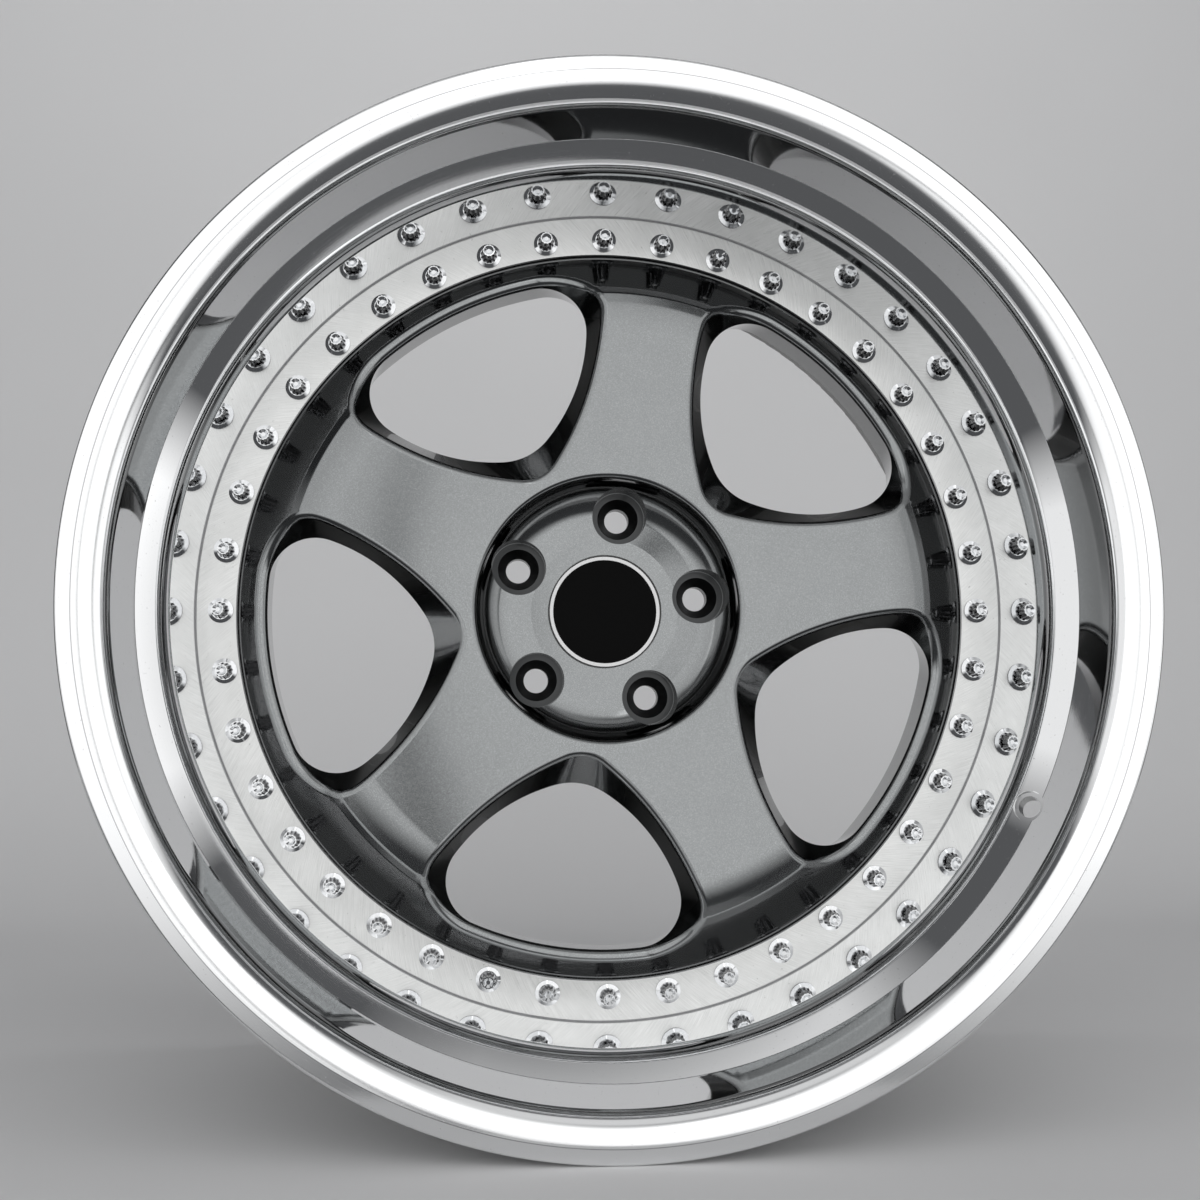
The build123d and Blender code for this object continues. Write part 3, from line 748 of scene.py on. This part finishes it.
def centre_disc():
    """The disc: turned faces with holes in front and behind, window walls, bolt seats and the outer edge."""
    rows = section_rows(DISC_SECTION)
    azimuths = np.arange(DISC_FACETS) * 2 * math.pi / DISC_FACETS
    sides = [SPOKE_AZIMUTH + 2 * math.pi * spoke / SPOKES for spoke in range(SPOKES)]
    windows = [azimuth + math.pi / SPOKES for azimuth in sides]

    def on_front(p, out):
        """Whether a point of the section belongs to the open front face."""
        clear_of_bore = p.x > BORE_WALL_END or p.y < PLATEAU_DEPTH + HAIR
        return out.y < -LEVEL and BORE_RADIUS - HAIR < p.x < FRONT_FACE_END and clear_of_bore

    def on_back(p, out):
        """Whether a point of the section belongs to the open back face."""
        on_pad, on_rim = p.y > FACE_DEPTH - HAIR, abs(p.y - BACK_RIM_DEPTH) < LEVEL
        between = BORE_WALL_END < p.x < BACK_STEP_START
        open_there = BORE_RADIUS - HAIR < p.x < BACK_RIM_RADIUS + HAIR
        return out.y > LEVEL and open_there and (on_pad or on_rim or between)

    looks_front = [i for i, row in enumerate(rows) if on_front(*row)]
    looks_back = [i for i, row in enumerate(rows) if on_back(*row)]
    front, back = (turned_line([rows[i] for i in face]) for face in (looks_front, looks_back))
    edge, wall, rear, start_facing = window_rows(front, back)
    edge_normals = row_normals(edge)
    edge_normals[0] = start_facing
    turns = np.arange(LUG_FACETS) * 2 * math.pi / LUG_FACETS

    def lug_loop(radius, depth=None):
        """A circle round the bolt hole at the top of the wheel, at a depth or on the front face."""
        points = np.zeros((LUG_FACETS, 3))
        points[:, 0], points[:, 2] = radius * np.sin(turns), LUG_CIRCLE + radius * np.cos(turns)
        points[:, 1] = LIP_FRONT + (depth_at(points, front) if depth is None else depth)
        return points

    pocket, hole = lug_loop(LUG_POCKET), lug_loop(LUG_HOLE, FACE_DEPTH)
    front_loops = [round_axle(edge[0], a) for a in windows] + [round_axle(pocket, a) for a in sides]
    back_loops = [round_axle(rear[-1], a) for a in windows] + [round_axle(hole, a) for a in sides]

    def off_front(points):
        """Whether points lie in the bore, the windows or the bolt pockets of the front face."""
        in_bore = np.hypot(points[:, 0], points[:, 2]) < front[0, 0]
        return in_bore | in_any(points, edge[0], windows) | in_any(points, pocket, sides)

    def off_back(points):
        """Whether points lie in the bore, the windows or the bolt holes of the back face."""
        in_bore = np.hypot(points[:, 0], points[:, 2]) < back[0, 0]
        return in_bore | in_any(points, rear[-1], windows) | in_any(points, hole, sides)

    patches = [turned_patch(front, front_loops, off_front), turned_patch(back, back_loops, off_back)]
    for azimuth in windows:
        for strip, normals in ((edge, edge_normals), (wall, row_normals(wall)), (rear, row_normals(rear))):
            patches.append(grid_patch(round_axle(strip, azimuth), round_axle(normals, azimuth)))
    seat = [pocket, lug_loop(LUG_POCKET, LUG_POCKET_DEPTH), lug_loop(LUG_SEAT, LUG_POCKET_DEPTH),
            lug_loop(LUG_HOLE, LUG_SEAT_END), hole]
    inwards = np.stack([-np.sin(turns), np.zeros(LUG_FACETS), -np.cos(turns)], axis=1)
    forward = np.tile([0.0, -1.0, 0.0], (LUG_FACETS, 1))
    coned = inwards * math.cos(LUG_SEAT_LEAN) + forward * math.sin(LUG_SEAT_LEAN)
    leans = [inwards, forward, coned, inwards]
    for azimuth in sides:
        for upper, lower, lean in zip(seat, seat[1:], leans):
            strip = round_axle(np.array([upper, lower]), azimuth)
            patches.append(grid_patch(strip, round_axle(np.array([lean, lean]), azimuth)))
    for here in range(len(rows)):
        there = (here + 1) % len(rows)
        (p, p_out), (q, q_out) = rows[here], rows[there]
        covered = any(here in face and there in face for face in (looks_front, looks_back))
        if not covered and (p - q).length > SAME_POINT:
            flat = np.ones(DISC_FACETS)
            strip = np.array([turned(k.x * flat, k.y * flat, azimuths) for k in (p, q)])
            normals = [turned(k.x * flat, k.y * flat, azimuths) for k in (p_out, q_out)]
            patches.append(grid_patch(strip, np.array(normals) - (0, LIP_FRONT, 0)))
    return place("painted_centre_disc", welded("painted_centre_disc", patches))


def gunmetal_paint():
    """Dark metallic base coat with fine flake that dulls when seen aslant, under a clear coat.
    The bolt pockets are matt, and darker partly for their own dark finish and partly as painted shade in the
    deep recesses."""
    material, tree, shader = finish("gunmetal_paint", PAINT, 1.0, 0.16)
    flake = tree.nodes.new("ShaderNodeTexVoronoi")
    tree.links.new(object_place(tree), flake.inputs["Vector"])
    flake.inputs["Scale"].default_value = 3600.0
    glint = tree.nodes.new("ShaderNodeSeparateXYZ")
    tree.links.new(flake.outputs["Color"], glint.inputs[0])
    dark = blend(tree, noise(tree, object_place(tree), 60.0, 3.0), PAINT_DARK, PAINT)
    flaked = blend(tree, ramp(tree, glint.outputs[0], 0.6, 1.0, 0.0, 0.5), dark, PAINT_FLAKE)
    aslant = tree.nodes.new("ShaderNodeLayerWeight")
    aslant.inputs["Blend"].default_value = 0.5
    square_on = calc(tree, "SUBTRACT", 1.0, aslant.outputs["Facing"])
    flaked = blend(tree, calc(tree, "POWER", square_on, 3.0), PAINT_ASLANT, flaked)
    radius, azimuth, along = wheel_coordinates(tree)
    sector = 2 * math.pi / SPOKES
    turned_back = calc(tree, "ADD", azimuth, 4 * math.pi + sector / 2 - SPOKE_AZIMUTH)
    around = calc(tree, "SUBTRACT", calc(tree, "MODULO", turned_back, sector), sector / 2)
    across = calc(tree, "MULTIPLY", radius, calc(tree, "SINE", around))
    outwards = calc(tree, "MULTIPLY", radius, calc(tree, "COSINE", around))
    from_lug = distance(tree, across, calc(tree, "SUBTRACT", outwards, LUG_CIRCLE))
    # Bolt pockets: matt, and darker partly for their own finish and partly as painted shade in the deep
    # recesses.
    pocket = ramp(tree, from_lug, LUG_POCKET - 0.0003, LUG_POCKET + 0.0002, 1.0, 0.0)
    colour_by(tree, shader, blend(tree, pocket, flaked, PAINT_POCKET_DARK_AND_SHADE))
    rough = ramp(tree, glint.outputs[1], 0.0, 1.0, 0.10, 0.18)
    roughen_by(tree, shader, calc(tree, "ADD", rough, calc(tree, "MULTIPLY", pocket, 0.2)))
    lacquer = calc(tree, "SUBTRACT", 1.0, calc(tree, "MULTIPLY", pocket, 0.6))
    tree.links.new(lacquer, shader.inputs["Coat Weight"])
    shader.inputs["Coat Roughness"].default_value = 0.012
    shader.inputs["Coat IOR"].default_value = 1.5
    return material


disc = centre_disc()
disc.data.materials.append(gunmetal_paint())
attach(disc, "root")
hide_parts("centre_disc")

# Assembly bolts
# Forty twelve-point bolts of chromed steel, with a collar under the head and a dimple in its top.
# They go through the lip, the disc and the barrel and clamp the three. The CAD solids show as they are.
CHROME = (0.74, 0.75, 0.76, 1)
CHROME_DULL = (0.62, 0.63, 0.64, 1)
CHROME_BRIGHT = (0.84, 0.85, 0.86, 1)
CHROME_FLANK_SHADE = (0.16, 0.16, 0.165, 1)


def bolt_chrome():
    """Bright chrome with faint handling marks, darkened on the flanks of the teeth as painted shade."""
    material, tree, shader = finish("bolt_chrome", CHROME, 1.0, 0.06)
    smear = noise(tree, object_place(tree), 700.0, 3.0, 0.6)
    looks = tree.nodes.new("ShaderNodeSeparateXYZ")
    tree.links.new(tree.nodes.new("ShaderNodeTexCoord").outputs["Normal"], looks.inputs[0])
    # Painted shade: faces turned sideways, the flanks of the teeth, get a dark colour.
    flank = ramp(tree, calc(tree, "ABSOLUTE", looks.outputs[1]), 0.3, 0.7, 1.0, 0.0)
    colour_by(tree, shader, blend(tree, flank, blend(tree, smear, CHROME_DULL, CHROME_BRIGHT), CHROME_FLANK_SHADE))
    roughen_by(tree, shader, ramp(tree, smear, 0.35, 0.7, 0.03, 0.10))
    return material


dress("assembly_bolts", bolt_chrome())

# Assembly nuts
# Forty flange nuts of zinc plated steel, one on each bolt.
# They bear on the back of the barrel's forward flange. The CAD solids show as they are.
ZINC = (0.55, 0.55, 0.54, 1)
ZINC_DARK = (0.46, 0.46, 0.45, 1)
ZINC_LIGHT = (0.60, 0.60, 0.59, 1)


def nut_steel():
    """Zinc plated steel, a little dull."""
    material, tree, shader = finish("nut_steel", ZINC, 1.0, 0.36)
    smear = noise(tree, object_place(tree), 500.0, 3.0, 0.6)
    colour_by(tree, shader, blend(tree, smear, ZINC_DARK, ZINC_LIGHT))
    roughen_by(tree, shader, ramp(tree, smear, 0.3, 0.7, 0.28, 0.48))
    return material


dress("assembly_nuts", nut_steel())

# Rim sealant
# A smooth bead of grey silicone that makes the joint of the two rim halves airtight.
# It is laid by hand in the groove between them, on the tyre side. The CAD solid shows as it is.
SILICONE = (0.26, 0.26, 0.26, 1)
SILICONE_DARK = (0.22, 0.22, 0.22, 1)
SILICONE_LIGHT = (0.31, 0.31, 0.31, 1)


def sealant_silicone():
    """Matt grey silicone with soft lumps."""
    material, tree, shader = finish("sealant_silicone", SILICONE, 0.0, 0.55)
    lumps = noise(tree, object_place(tree), 160.0, 3.0)
    colour_by(tree, shader, blend(tree, lumps, SILICONE_DARK, SILICONE_LIGHT))
    bump(tree, shader, lumps, 0.0006)
    return material


dress("rim_sealant", sealant_silicone())

# Cap body
# A black plastic moulding with a rim and snap legs.
# It is pushed into the hub bore from the front, and its legs catch in a groove there.
CAP_BLACK_DARK = (0.012, 0.012, 0.012, 1)
CAP_BLACK = (0.018, 0.018, 0.018, 1)


def cap_plastic(name, low, high, rough_low, rough_high, gloss):
    """Moulded plastic between two shades, with a fine grain."""
    material, tree, shader = finish(name, high, 0.0, rough_high)
    grain = noise(tree, object_place(tree), 1500.0, 2.0)
    colour_by(tree, shader, blend(tree, grain, low, high))
    roughen_by(tree, shader, ramp(tree, grain, 0.3, 0.7, rough_low, rough_high))
    bump(tree, shader, grain, 0.00001)
    shader.inputs["Specular IOR Level"].default_value = gloss
    return material


dress("cap_body", cap_plastic("cap_black", CAP_BLACK_DARK, CAP_BLACK, 0.2, 0.3, gloss=0.5))

# Cap ring
# A thin white plastic trim ring.
# It is glued into a step of the cap body, round the plate.
CAP_WHITE_DARK = (0.88, 0.88, 0.88, 1)
CAP_WHITE = (0.94, 0.94, 0.94, 1)
dress("cap_ring", cap_plastic("cap_white", CAP_WHITE_DARK, CAP_WHITE, 0.25, 0.35, gloss=0.5))

# Cap plate
# A plain round plate of satin black plastic.
# It is laid into the face of the cap body and glued.
PLATE_BLACK_DARK = (0.002, 0.002, 0.002, 1)
PLATE_BLACK = (0.003, 0.003, 0.003, 1)
dress("cap_plate", cap_plastic("plate_black", PLATE_BLACK_DARK, PLATE_BLACK, 0.5, 0.65, gloss=0.06))

# Cap spring
# An open ring of bright steel wire behind the cap.
# It sits inside the snap legs and spreads them.
WIRE = (0.5, 0.5, 0.5, 1)
WIRE_DARK = (0.42, 0.42, 0.42, 1)
WIRE_LIGHT = (0.55, 0.55, 0.55, 1)


def spring_wire():
    """Bright drawn steel wire."""
    material, tree, shader = finish("spring_wire", WIRE, 1.0, 0.3)
    drawn = noise(tree, object_place(tree), 900.0, 2.0)
    colour_by(tree, shader, blend(tree, drawn, WIRE_DARK, WIRE_LIGHT))
    roughen_by(tree, shader, ramp(tree, drawn, 0.3, 0.7, 0.22, 0.4))
    return material


dress("cap_spring", spring_wire())

# Stage
# A pale paper sweep under and behind the wheel, in one seamless sheet.
# Soft boxes stand in front, above and at the sides, and one washes the back wall.
FLOOR_Z = cad_box[0].z
SWEEP_BACK = 1.1
SWEEP_FRONT = -0.24
SWEEP_HALF_WIDTH = 1.0
SWEEP_TOP = 1.0
SWEEP_ROUND = 0.5
SWEEP_STEPS = 16
PAPER = (0.76, 0.76, 0.765, 1)
PAPER_DARK = (0.74, 0.74, 0.745, 1)
PAPER_LIGHT = (0.78, 0.78, 0.785, 1)
SOFT_EDGE = 0.22
CRISP_EDGE = 0.04
SKY = (0.94, 0.96, 1.0, 1)
SKY_STRENGTH = 0.1


def sweep_paper():
    """Pale grey paper with a slight mottle."""
    material, tree, shader = finish("sweep_paper", PAPER, 0.0, 0.9)
    mottle = noise(tree, object_place(tree), 3.0, 2.0)
    colour_by(tree, shader, blend(tree, mottle, PAPER_DARK, PAPER_LIGHT))
    return material


def sweep():
    """The floor, a rounded corner and the back wall in one sheet."""
    line = [(SWEEP_FRONT, FLOOR_Z)]
    for step in range(SWEEP_STEPS + 1):
        turn = math.radians(90 * step / SWEEP_STEPS)
        line.append((SWEEP_BACK - SWEEP_ROUND + SWEEP_ROUND * math.sin(turn),
                     FLOOR_Z + SWEEP_ROUND - SWEEP_ROUND * math.cos(turn)))
    line.append((SWEEP_BACK, SWEEP_TOP))
    points = [(side * SWEEP_HALF_WIDTH, y, z) for y, z in line for side in (-1, 1)]
    faces = [(2 * i, 2 * i + 1, 2 * i + 3, 2 * i + 2) for i in range(len(line) - 1)]
    mesh = bpy.data.meshes.new("sweep")
    mesh.from_pydata(points, [], faces)
    mesh.polygons.foreach_set("use_smooth", [True] * len(mesh.polygons))
    mesh.materials.append(sweep_paper())
    return place("sweep", mesh)


sweep()


def soft_box(name, centre, aim, width, height, radiance, side_fade):
    """A rectangular soft light that shines with a given brightness towards a point and fades at its edges."""
    light = bpy.data.lights.new(name, "AREA")
    light.shape = "RECTANGLE"
    light.size = width / (1 - side_fade)
    light.size_y = height / (1 - SOFT_EDGE)
    light.energy = radiance * math.pi * light.size * light.size_y
    light.use_nodes = True
    tree = light.node_tree
    parts = tree.nodes.new("ShaderNodeSeparateXYZ")
    tree.links.new(tree.nodes.new("ShaderNodeNewGeometry").outputs["Parametric"], parts.inputs[0])
    fades = []
    for along, fade in zip(parts.outputs, (side_fade, SOFT_EDGE)):
        inwards = calc(tree, "SUBTRACT", 0.5, calc(tree, "ABSOLUTE", calc(tree, "SUBTRACT", along, 0.5)))
        fades.append(ramp(tree, inwards, 0.0, fade))
    tree.links.new(calc(tree, "MULTIPLY", *fades), tree.nodes["Emission"].inputs["Strength"])
    lamp = bpy.data.objects.new(name, light)
    lamp.location = centre
    way = (Vector(aim) - Vector(centre)).normalized()
    lamp.rotation_euler = way.to_track_quat("-Z", "Y").to_euler()
    bpy.context.collection.objects.link(lamp)


soft_box("front_right_box", centre=(0.82, -1.75, 0.55), aim=(0.30, -0.1, 0.1),
         width=1.80, height=2.6, radiance=1.17, side_fade=CRISP_EDGE)
soft_box("front_left_box", centre=(-0.974, -1.75, 0.55), aim=(-0.354, -0.1, 0.1),
         width=2.0, height=2.6, radiance=1.08, side_fade=CRISP_EDGE)
soft_box("top_box", centre=(0.0, -0.9, 2.1), aim=(0, -0.2, 0),
         width=2.4, height=1.0, radiance=0.6, side_fade=SOFT_EDGE)
soft_box("right_box", centre=(1.95, -0.85, 0.30), aim=(0, -0.1, 0),
         width=1.2, height=1.7, radiance=1.1, side_fade=SOFT_EDGE)
soft_box("left_box", centre=(-1.95, -0.85, 0.30), aim=(0, -0.1, 0),
         width=1.2, height=1.7, radiance=0.8, side_fade=SOFT_EDGE)
soft_box("wall_wash", centre=(0.0, 0.45, 1.5), aim=(0, 1.1, 0.2),
         width=2.2, height=0.3, radiance=1.45, side_fade=SOFT_EDGE)

world = bpy.data.worlds.new("studio")
world.use_nodes = True
world.node_tree.nodes["Background"].inputs["Color"].default_value = SKY
world.node_tree.nodes["Background"].inputs["Strength"].default_value = SKY_STRENGTH
bpy.context.scene.world = world

camera = bpy.data.objects.new("camera", bpy.data.cameras.new("camera"))
camera.data.sensor_width = 36.0
camera.data.lens = 43.5
camera.location = (-0.0667, -0.8445, -0.0604)
camera.rotation_euler = (math.radians(94.64), 0, math.radians(-4.44))
bpy.context.collection.objects.link(camera)
bpy.context.scene.camera = camera
bpy.context.scene.view_settings.view_transform = "Standard"
